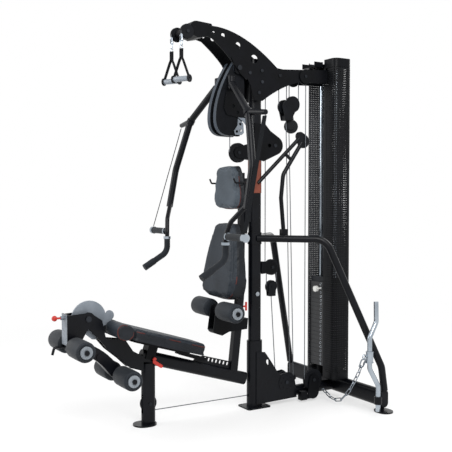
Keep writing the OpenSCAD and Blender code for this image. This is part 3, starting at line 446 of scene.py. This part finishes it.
def cushion(node_name, name, front, seam_back, rounding, face_vinyl, swell=8.0):
    """Stuffs and sews a cushion in the place of its CAD solid.

    front points out of the cushion's face, and seam_back is how far behind the foremost point
    the seam lies. rounding is the radius of its edges, and swell caps how far the cover may
    stand out."""
    made = bpy.data.objects.new(name, nodes[node_name].data.copy())
    bpy.context.collection.objects.link(made)
    only(made)
    bpy.ops.object.mode_set(mode="EDIT")
    bpy.ops.mesh.select_all(action="SELECT")
    bpy.ops.mesh.remove_doubles(threshold=0.00005)
    bpy.ops.mesh.customdata_custom_splitnormals_clear()
    bpy.ops.mesh.normals_make_consistent(inside=False)
    bpy.ops.object.mode_set(mode="OBJECT")
    soften = made.modifiers.new("soften", "BEVEL")
    soften.width = rounding * MM
    soften.segments = 5
    soften.angle_limit = math.radians(50)
    bpy.ops.object.modifier_apply(modifier="soften")
    made.data.remesh_voxel_size = VOXEL * MM
    bpy.ops.object.voxel_remesh()
    front = Vector(front).normalized()
    back = min(v.co.dot(front) for v in made.data.vertices)
    before = [v.co.copy() for v in made.data.vertices]
    shrunk = []
    for vertex in made.data.vertices:
        hold = min(1.0, (vertex.co.dot(front) - back) / (12 * MM))
        shrunk.append(vertex.co - vertex.normal * TAKE_IN * MM * hold)
    for vertex, spot in zip(made.data.vertices, shrunk):
        vertex.co = spot
    cloth = made.modifiers.new("stuffing", "CLOTH")
    cloth.settings.quality = 4
    cloth.settings.mass = 0.3
    cloth.settings.use_pressure = True
    cloth.settings.uniform_pressure_force = 4
    cloth.settings.effector_weights.gravity = 0
    cloth.point_cache.frame_start = 1
    cloth.point_cache.frame_end = LAST_STEP
    for frame_number in range(1, LAST_STEP + 1):
        bpy.context.scene.frame_set(frame_number)
    bpy.ops.object.modifier_apply(modifier="stuffing")
    bpy.context.scene.frame_set(1)
    for vertex, spot, first in zip(made.data.vertices, shrunk, before):
        stand = min(1.0, max(0.0, (first.dot(front) - back) / (16 * MM)))
        move = vertex.co - spot
        if move.length > swell * MM:
            move = move.normalized() * swell * MM
        vertex.co = spot + move * stand
    made.data.materials.clear()
    made.data.materials.append(face_vinyl)
    made.data.materials.append(side_vinyl)
    top = max(v.co.dot(front) for v in made.data.vertices)
    return made, front, top - seam_back * MM


def sew(made, body, cuts, is_face, node_name):
    """Sews a seam at each cut, (direction, level): a groove and piping. Other faces are darker."""
    only(made)
    link = {}
    for front, level in cuts:
        bpy.ops.object.mode_set(mode="EDIT")
        bpy.ops.mesh.select_all(action="SELECT")
        bpy.ops.mesh.bisect(plane_co=front * level, plane_no=front)
        bpy.ops.object.mode_set(mode="OBJECT")
    for edge in made.data.edges:
        a, b = edge.vertices
        ends = made.data.vertices[a].co, made.data.vertices[b].co
        if any(all(abs(end.dot(front) - level) < 1e-6 for end in ends) for front, level in cuts):
            link.setdefault(a, []).append(b)
            link.setdefault(b, []).append(a)
    places = [v.co.copy() for v in made.data.vertices]
    rings = []
    while link:
        start = next(iter(link))
        ring, now, last = [start], start, None
        while True:
            nexts = [n for n in link.pop(now, []) if n != last]
            if not nexts or nexts[0] == start:
                break
            last, now = now, nexts[0]
            if now in ring:
                break
            ring.append(now)
        if len(ring) > 20:
            rings.append(ring)
    cords = []
    for ring in rings:
        spots = [places[i] for i in ring[::2]]
        for _ in range(3):
            spots = [(spots[i - 1] + spots[i] + spots[(i + 1) % len(spots)]) / 3
                     for i in range(len(spots))]
        cords.append(wire([[c / MM for c in spot] for spot in spots], PIPING_RADIUS, closed=True))
    for front, level in cuts:
        for vertex in made.data.vertices:
            off = (vertex.co.dot(front) - level) / (7 * MM)
            if abs(off) < 1 and abs(vertex.normal.dot(front)) < 0.75:
                vertex.co = vertex.co - vertex.normal * GROOVE * MM * (1 - abs(off))
    for face in made.data.polygons:
        face.material_index = 0 if is_face(face.center) else 1
    smooth_out = made.modifiers.new("cover", "SUBSURF")
    smooth_out.levels = smooth_out.render_levels = 1
    bpy.ops.object.modifier_apply(modifier="cover")
    bpy.ops.object.shade_smooth()
    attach(made, body)
    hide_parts(node_name)
    if cords:
        piping = join(cords)
        shape_done(piping, made.name + "_piping", piping_cord, body)


rail_turn = math.radians(17.1)
seat_up = Vector((0, math.sin(rail_turn), math.cos(rail_turn)))
lean = Vector((0, -0.99, 0.137)).normalized()
for node_name, name, body, front, seam_back, rounding, shade_name in [
        ("seat_pad", "seat_cushion", "seat", seat_up, 15, 12, "charcoal"),
        ("upper_back_pad", "upper_back_cushion", "frame", (0, -1, 0), 32, 20, "grey"),
        ("lower_back_pad", "lower_back_cushion", "frame", lean, 34, 22, "charcoal")]:
    made, along, level = cushion(node_name, name, front, seam_back, rounding, vinyls[shade_name])
    sew(made, body, [(along, level)], lambda spot: spot.dot(along) > level, node_name)


# Knee cushions: two oval rolls of foam on a board, one each side of the cam, with black end discs
# sewn into their covers.
made, along, level = cushion("knee_bolster", "knee_cushions", (0, 0.29, 0.96), 20, 9, vinyls["charcoal"], 6.0)
ends = [(Vector((1, 0, 0)), x * MM) for x in (-168, -13, 13, 168)]
sew(made, "frame", ends, lambda spot: 0.013 < abs(spot.x) < 0.168, "knee_bolster")


# Leg rollers: closed-cell foam tubes on steel axles. Their cover is gathered into radial pleats at
# the end and held by a pressed cap disc with a dark recessed bolt.
roller_skin = surface("charcoal_foam_skin", "#20252b", "#191d22", 0.6, 1.5, 0.25, sheen=0.05, specular=0.2)
cap_plastic = surface("light_grey_abs_cap", "#858b91", "#757b81", 0.4, 0.8, 0.02)
foam_profile = [(0, 9), (0, 30), (1.5, 42), (6, 48), (14, 50), (80, 50.6), (148, 50), (155, 48.5), (159, 45),
                (160.6, 41), (161, 37), (159.8, 33), (158, 30.5)]
cap_profile = [(157, 9), (157, 31), (164, 31), (166.4, 29.2), (167, 26), (166.2, 20), (165, 13), (162, 11),
               (161.4, 9)]
PLEATS = 36
PLEAT_DEPTH = 1.1


def turned(points, steps, name):
    """Turns a profile of (along x, radius) about the x axis, as a lathe does."""
    bpy.ops.mesh.primitive_circle_add(vertices=len(points), radius=0.01, fill_type="NOTHING")
    made = bpy.context.object
    made.name = name
    for vertex, (x, r) in zip(made.data.vertices, points):
        vertex.co = (x * MM, 0, r * MM)
    only(made)
    bpy.ops.object.mode_set(mode="EDIT")
    bpy.ops.mesh.select_all(action="SELECT")
    bpy.ops.mesh.spin(steps=steps, angle=2 * math.pi, center=(0, 0, 0), axis=(1, 0, 0))
    bpy.ops.mesh.select_all(action="SELECT")
    bpy.ops.mesh.remove_doubles(threshold=0.00002)
    bpy.ops.mesh.normals_make_consistent(inside=False)
    bpy.ops.object.mode_set(mode="OBJECT")
    return made


foam_tube = turned(foam_profile, 4 * PLEATS, "roller_foam")
for vertex in foam_tube.data.vertices:
    x, y, z = vertex.co
    r = math.hypot(y, z)
    if x > 0.1555 and r > 0.0325:
        vertex.co.x = x + PLEAT_DEPTH * MM * math.cos(PLEATS * math.atan2(y, z))
cap_disc = turned(cap_profile, 48, "roller_cap")
foam_tube.data.materials.append(roller_skin)
cap_disc.data.materials.append(cap_plastic)
roller = join([foam_tube, cap_disc])
for node_name, inner, y, z in [("ankle_rollers", 47, -832, 288), ("shin_rollers", 53, -1077, 456),
                               ("thigh_rollers", 55, -245, 573)]:
    pair = []
    for side in (0, 1):
        made = bpy.data.objects.new("roller", roller.data.copy())
        bpy.context.collection.objects.link(made)
        made.matrix_world = (Matrix.Translation((0, y * MM, z * MM)) @ Matrix.Rotation(math.pi * side, 4, "Z")
                             @ Matrix.Translation((inner * MM, 0, 0)))
        pair.append(made)
    made = join(pair)
    shape_done(made, node_name + "_covered", None, node_name)
    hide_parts(node_name)
bpy.data.objects.remove(roller)


# Tower shrouds: 2 mm steel sheet, punched all over with small holes, folded round the stack and
# powder-coated black. The holes here are 13 mm apart, coarser than the real ones, so that they show.
shroud_coat = surface("black_powder_coat_on_sheet", "#131417", "#0e0f11", 0.45, 1.2, 0.04)
# the sheet's inner faces are painted a paler grey than its coat: painted light, so the holes show as pale
# dots
inside_painted_light = surface("grey_inside_painted_light", "#454649", "#3b3c3f", 0.6, 1.2, 0.04)
HOLE_PITCH = 13
SHEET_LOW, SHEET_HIGH = 123, 1984
SHEET = 2
BAND_BOTTOM = 1932          # the sheet above this is dressed like the plates, as one dark band
EDGE_MARGIN, TOP_MARGIN, FOOT_MARGIN = 17, 48, 28     # unpunched borders


def shroud_path(front_edge):
    """The sheet's middle line in plan, from its front edge round to its rear edge, as points."""
    points = [(front_edge, 461)]
    for step in range(13):
        turn = math.radians(-90 + 90 * step / 12)
        points.append((107 + 27 * math.cos(turn), 488 + 27 * math.sin(turn)))
    for step in range(13):
        turn = math.radians(90 * step / 12)
        points.append((107 + 27 * math.cos(turn), 557 + 27 * math.sin(turn)))
    points.append((1.2, 584))
    return [Vector(p) for p in points]


def shroud(name, node_name, front_edge, flip, hole):
    """Punches a flat sheet, folds it along its path and gives it its thickness. hole is a hole's radius."""
    points = shroud_path(front_edge)
    lengths = [0]
    for a, b in zip(points, points[1:]):
        lengths.append(lengths[-1] + (b - a).length)
    wide, tall = lengths[-1], SHEET_HIGH - SHEET_LOW
    bpy.ops.mesh.primitive_grid_add(x_subdivisions=round(wide / HOLE_PITCH),
                                    y_subdivisions=round(tall / HOLE_PITCH), size=1)
    made = bpy.context.object
    made.scale = (wide * MM, tall * MM, 1)
    bpy.ops.object.transform_apply(scale=True)
    only(made)
    bpy.ops.object.mode_set(mode="EDIT")
    bpy.ops.mesh.select_all(action="DESELECT")
    bpy.ops.object.mode_set(mode="OBJECT")
    half, reach = wide * MM / 2, tall * MM / 2
    bpy.context.tool_settings.mesh_select_mode = (True, False, False)
    for vertex in made.data.vertices:
        vertex.select = (abs(vertex.co.x) < half - EDGE_MARGIN * MM and vertex.co.y < reach - TOP_MARGIN * MM
                         and vertex.co.y > -reach + FOOT_MARGIN * MM)
    bpy.ops.object.mode_set(mode="EDIT")
    bpy.ops.mesh.bevel(offset=hole * MM, offset_type="OFFSET", segments=1, affect="VERTICES")
    bpy.ops.mesh.select_all(action="DESELECT")
    bpy.ops.object.mode_set(mode="OBJECT")
    for face in made.data.polygons:
        face.select = face.area < 2.2 * (hole * MM) ** 2
    bpy.context.tool_settings.mesh_select_mode = (False, False, True)
    bpy.ops.object.mode_set(mode="EDIT")
    bpy.ops.mesh.delete(type="FACE")
    bpy.ops.mesh.select_all(action="DESELECT")
    bpy.ops.object.mode_set(mode="OBJECT")
    for vertex in made.data.vertices:
        s = min(max((vertex.co.x + half) / MM, 0), wide - 0.001)
        k = max(i for i in range(len(lengths) - 1) if lengths[i] <= s)
        spot = points[k].lerp(points[k + 1], (s - lengths[k]) / (lengths[k + 1] - lengths[k]))
        vertex.co = (spot.x * MM * flip, spot.y * MM, SHEET_LOW * MM + vertex.co.y + reach)
    for face in made.data.polygons:
        x, y, z = face.center
        face.select = 0.046 < abs(x) < 0.068 and y < 0.475 and 1.826 < z < 1.936
    bpy.ops.object.mode_set(mode="EDIT")
    bpy.ops.mesh.delete(type="FACE")
    bpy.ops.mesh.select_all(action="SELECT")
    bpy.ops.mesh.normals_make_consistent(inside=False)
    bpy.ops.object.mode_set(mode="OBJECT")
    wall = made.modifiers.new("sheet", "SOLIDIFY")
    wall.thickness = SHEET * MM
    wall.offset = 0
    bpy.ops.object.modifier_apply(modifier="sheet")
    shape_done(made, name, shroud_coat, "frame", 30)
    made.data.materials.append(plate_coat)
    made.data.materials.append(inside_painted_light)
    for face in made.data.polygons:
        x, y, z = face.center
        # faces that look inwards take the paler grey of painted light
        if face.normal.dot(Vector((x, y - 0.5225, 0))) < 0 and abs(face.normal.z) < 0.5:
            face.material_index = 2
        elif z > BAND_BOTTOM * MM:
            face.material_index = 1
    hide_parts(node_name)


shroud("perforated_shroud_near", "shroud_near", 34, 1, 4.3)
shroud("perforated_shroud_far", "shroud_far", 108, -1, 2.4)


# Hole rims of the stack: bright turned bushes pressed into each plate, where the pin goes in.
def ring(at, big, small):
    """A bright round-section ring that faces the y axis."""
    bpy.ops.mesh.primitive_torus_add(location=[c * MM for c in at], rotation=(math.pi / 2, 0, 0),
                                     major_radius=big * MM, minor_radius=small * MM,
                                     major_segments=24, minor_segments=8)
    return bpy.context.object


bush = surface("bright_zinc_bush", "#b9bec4", "#a6abb1", 0.3, 0.5, 0.01, metallic=0.8)
PLATE = 25
FIRST_HOLE = 193.5
for name, body, first, count in [("stack_bushes_resting", "frame", 0, 18),
                                 ("stack_bushes_picked", "stack", 18, 2)]:
    parts = [ring((0, 469.8, FIRST_HOLE + PLATE * (first + k)), 6.6, 1.1) for k in range(count)]
    shape_done(join(parts), name, bush, body)


# Hole plug: a pale polypropylene button that closes a hole in the upright's near side.
def lathe_piece(points, at, steps=40):
    """A turned piece on an x axis through this place, in millimetres."""
    made = turned(points, steps, "turned")
    made.location = [c * MM for c in at]
    return made


plug = lathe_piece([(0, 0.3), (0, 11), (1.2, 12.5), (3, 11.5), (3.8, 8), (4, 0.3)], (29.6, 0.9, 643), 32)
plug_plastic = surface("pale_grey_polypropylene", "#9aa0a6", "#8c9298", 0.4, 0.8, 0.01)
shape_done(plug, "upright_hole_plug", plug_plastic, "frame")


# Stirrups: a chromed spring link and ring hold a black webbing stem. It splits in two and carries
# a smooth grey grip between round end discs.
strap_cloth, tree, shader = new_material("black_nylon_webbing")
place = add(tree, "ShaderNodeTexCoord", {}, {}).outputs["Object"]
# ribs every 2 mm along the webbing, with a thread's unevenness
ribs = add(tree, "ShaderNodeTexWave",
           {"wave_type": "BANDS", "bands_direction": "Z", "Scale": 0.314 / (2 * MM), "Distortion": 0.4,
            "Detail": 1.0}, {"Vector": place})
ramp = add(tree, "ShaderNodeValToRGB", {}, {"Fac": ribs.outputs["Fac"]})
ramp.color_ramp.elements[0].color = linear("#0b0c0e")
ramp.color_ramp.elements[1].color = linear("#1b1d20")
tree.links.new(ramp.outputs["Color"], shader.inputs["Base Color"])
shader.inputs["Roughness"].default_value = 0.8
shader.inputs["Specular IOR Level"].default_value = 0.08
weave = add(tree, "ShaderNodeBump", {"Strength": 0.8, "Distance": 0.5 * MM}, {"Height": ribs.outputs["Fac"]})
tree.links.new(weave.outputs["Normal"], shader.inputs["Normal"])
dress(["strap_near", "strap_far"], strap_cloth, 0.8)
grip_plastic = surface("smooth_grey_grip_plastic", "#8b929a", "#7b828a", 0.3, 1.0, 0.01, coat=0.3)
disc_plastic = surface("black_grip_discs", "#1b1c20", "#141518", 0.4, 0.8, 0.03)


def band(points, wide_axis, wide, thick):
    """A flat strap through these points, in millimetres, wide along wide_axis."""
    bpy.ops.mesh.primitive_plane_add(size=1)
    made = bpy.context.object
    only(made)
    across = Vector(wide_axis) * wide / 2
    corners = [(points[0], -1), (points[0], 1), (points[1], -1), (points[1], 1)]
    for vertex, (point, sign) in zip(made.data.vertices, corners):
        vertex.co = (Vector(point) + across * sign) * MM
    for end in points[2:]:
        bpy.ops.object.mode_set(mode="EDIT")
        bpy.ops.mesh.select_all(action="DESELECT")
        bpy.ops.object.mode_set(mode="OBJECT")
        count = len(made.data.vertices)
        last = {count - 1, count - 2}
        if count == 4:
            last = {2, 3}
        bpy.context.tool_settings.mesh_select_mode = (False, True, False)
        for edge in made.data.edges:
            edge.select = set(edge.vertices) == last
        for vertex in made.data.vertices:
            vertex.select = vertex.index in last
        middle = sum((made.data.vertices[i].co for i in last), Vector()) / 2
        bpy.ops.object.mode_set(mode="EDIT")
        bpy.ops.mesh.extrude_region_move(TRANSFORM_OT_translate={"value": Vector(end) * MM - middle})
        bpy.ops.object.mode_set(mode="OBJECT")
    bpy.ops.object.mode_set(mode="EDIT")
    bpy.ops.mesh.select_all(action="SELECT")
    bpy.ops.mesh.normals_make_consistent(inside=False)
    bpy.ops.object.mode_set(mode="OBJECT")
    wall = made.modifiers.new("cloth", "SOLIDIFY")
    wall.thickness = thick * MM
    wall.offset = 0
    bpy.ops.object.modifier_apply(modifier="cloth")
    return made


def oval_loop(middle, tall, wide, plane, steps=10):
    """The middle line of a long link standing on end: two straights joined by half rings."""
    r, half = wide / 2, (tall - wide) / 2
    spots = []
    for sign in (1, -1):
        for k in range(steps + 1):
            turn = math.pi * k / steps
            a, c = r * math.cos(turn) * sign, (half + r * math.sin(turn)) * sign
            spots.append((middle[0] + (a if plane == "X" else 0), middle[1] + (a if plane == "Y" else 0),
                          middle[2] + c))
    return spots


HANDLE_PROFILE = [(-45, 5), (-45, 13), (-43, 14), (-10, 14.3), (10, 14.3), (43, 14), (45, 13), (45, 5)]
DISC_PROFILE = [(-4.5, 4), (-4.5, 18), (-3, 20), (3, 20), (4.5, 18), (4.5, 9), (3, 4)]
NUT_PROFILE = [(-8, 3.1), (-8, 4.6), (-7, 5.2), (7, 5.2), (8, 4.6), (8, 3.1)]
GRIP_Z = 1800
HANG_X, HANG_Y = 56, -489.5
twist = Matrix.Rotation(math.radians(28), 4, "Z")     # the webbing has turned a little on its ring
webs, metals, grips, discs = [], [], [], []
for side in (-1, 1):
    x, y = HANG_X * side, HANG_Y
    metals.append(wire(oval_loop((x, y, 2002), 60, 21, "X"), 3.0, 12, closed=True))
    metals.append(wire(oval_loop((x, y, 1963.6), 16, 15.9, "Y", 12), 2.0, 12, closed=True))
    # the spring gate's barrel nut on one side of the link
    nut = lathe_piece(NUT_PROFILE, (0, 0, 0), 20)
    nut.rotation_euler = (0, math.pi / 2, 0)
    nut.location = ((x + 10.5) * MM, y * MM, 2000 * MM)
    metals.append(nut)
    cloth = [band([(0, 0, 1957), (0, 0, 1940), (0, 0, 1912)], (1, 0, 0), 22, 5)]
    for leg in (-1, 1):
        cloth.append(band([(leg * 3, 0, 1913), (leg * 12, 0, 1895), (leg * 30, 0, 1850), (leg * 49, 0, 1803)],
                          (0, 1, 0), 20, 3.4))
    handle = lathe_piece(HANDLE_PROFILE, (0, 0, GRIP_Z))
    rims = [lathe_piece(DISC_PROFILE, (end, 0, GRIP_Z)) for end in (-50, 50)]
    for piece in cloth + [handle] + rims:
        piece.matrix_world = Matrix.Translation((x * MM, y * MM, 0)) @ twist @ piece.matrix_basis
    webs += cloth
    grips.append(handle)
    discs += rims
stirrup_parts = [("stirrup_links", metals, chrome, "chrome"),
                 ("stirrup_webbing", webs, strap_cloth, "webbing"),
                 ("stirrup_grips", grips, grip_plastic, "foam"),
                 ("stirrup_discs", discs, disc_plastic, "nylon_sheave")]
for name, parts, material, slot_name in stirrup_parts:
    piece = join(parts)
    shape_done(piece, name, material, "stirrups")
    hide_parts("stirrups")


# Chain: welded long links of 5.6 mm wire, zinc-plated bright, from the tower's foot to the curl
# bar's eye, where a spring link holds it.
LINK_PITCH = 48
ROUTE = [Vector(p) for p in [(66, 436, 58), (120, 424, 46), (185, 416, 26), (240, 424, 30), (300, 438, 92),
                             (360, 440, 182), (412, 424, 244), (452, 413, 306)]]


def place_along(route, s):
    """The point s along a route of straight stretches."""
    for a, b in zip(route, route[1:]):
        step = (b - a).length
        if s <= step:
            return a + (b - a) * s / step
        s -= step
    return route[-1] + (route[-1] - route[-2]).normalized() * s


link_shape = wire(oval_loop((0, 0, 0), 53.4, 16.4, "X", 8), 2.8, 8, closed=True)
clip_shape = join([wire(oval_loop((0, 0, 0), 62, 24, "X", 10), 4.0, 12, closed=True),
                   wire([(11.9, 0, -11), (11.9, 0, 11)], 5.4, 12)])
links = []
route_length = sum((b - a).length for a, b in zip(ROUTE, ROUTE[1:]))
count = int(route_length // LINK_PITCH)
for k in range(count):
    a, b = place_along(ROUTE, LINK_PITCH * k), place_along(ROUTE, LINK_PITCH * (k + 1))
    along = (b - a).normalized()
    shape = clip_shape if k == count - 1 else link_shape
    made = bpy.data.objects.new("link", shape.data.copy())
    bpy.context.collection.objects.link(made)
    stand = along.to_track_quat("Z", "Y").to_matrix().to_4x4()
    quarter = Matrix.Rotation(math.pi / 2 * (k % 2), 4, "Z")
    made.matrix_world = Matrix.Translation((a + b) / 2 * MM) @ stand @ quarter
    links.append(made)
bpy.data.objects.remove(link_shape)
bpy.data.objects.remove(clip_shape)
chain = join(links)
bright_zinc = surface("bright_zinc_chain", "#989fa7", "#7d848c", 0.22, 0.8, 0.03, metallic=0.95)
shape_done(chain, "curl_bar_chain", bright_zinc)
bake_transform(chain)
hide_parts("link_chain")

size = {"cad": [list(cad_low), list(cad_high)], "visual": [list(v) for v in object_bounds()]}
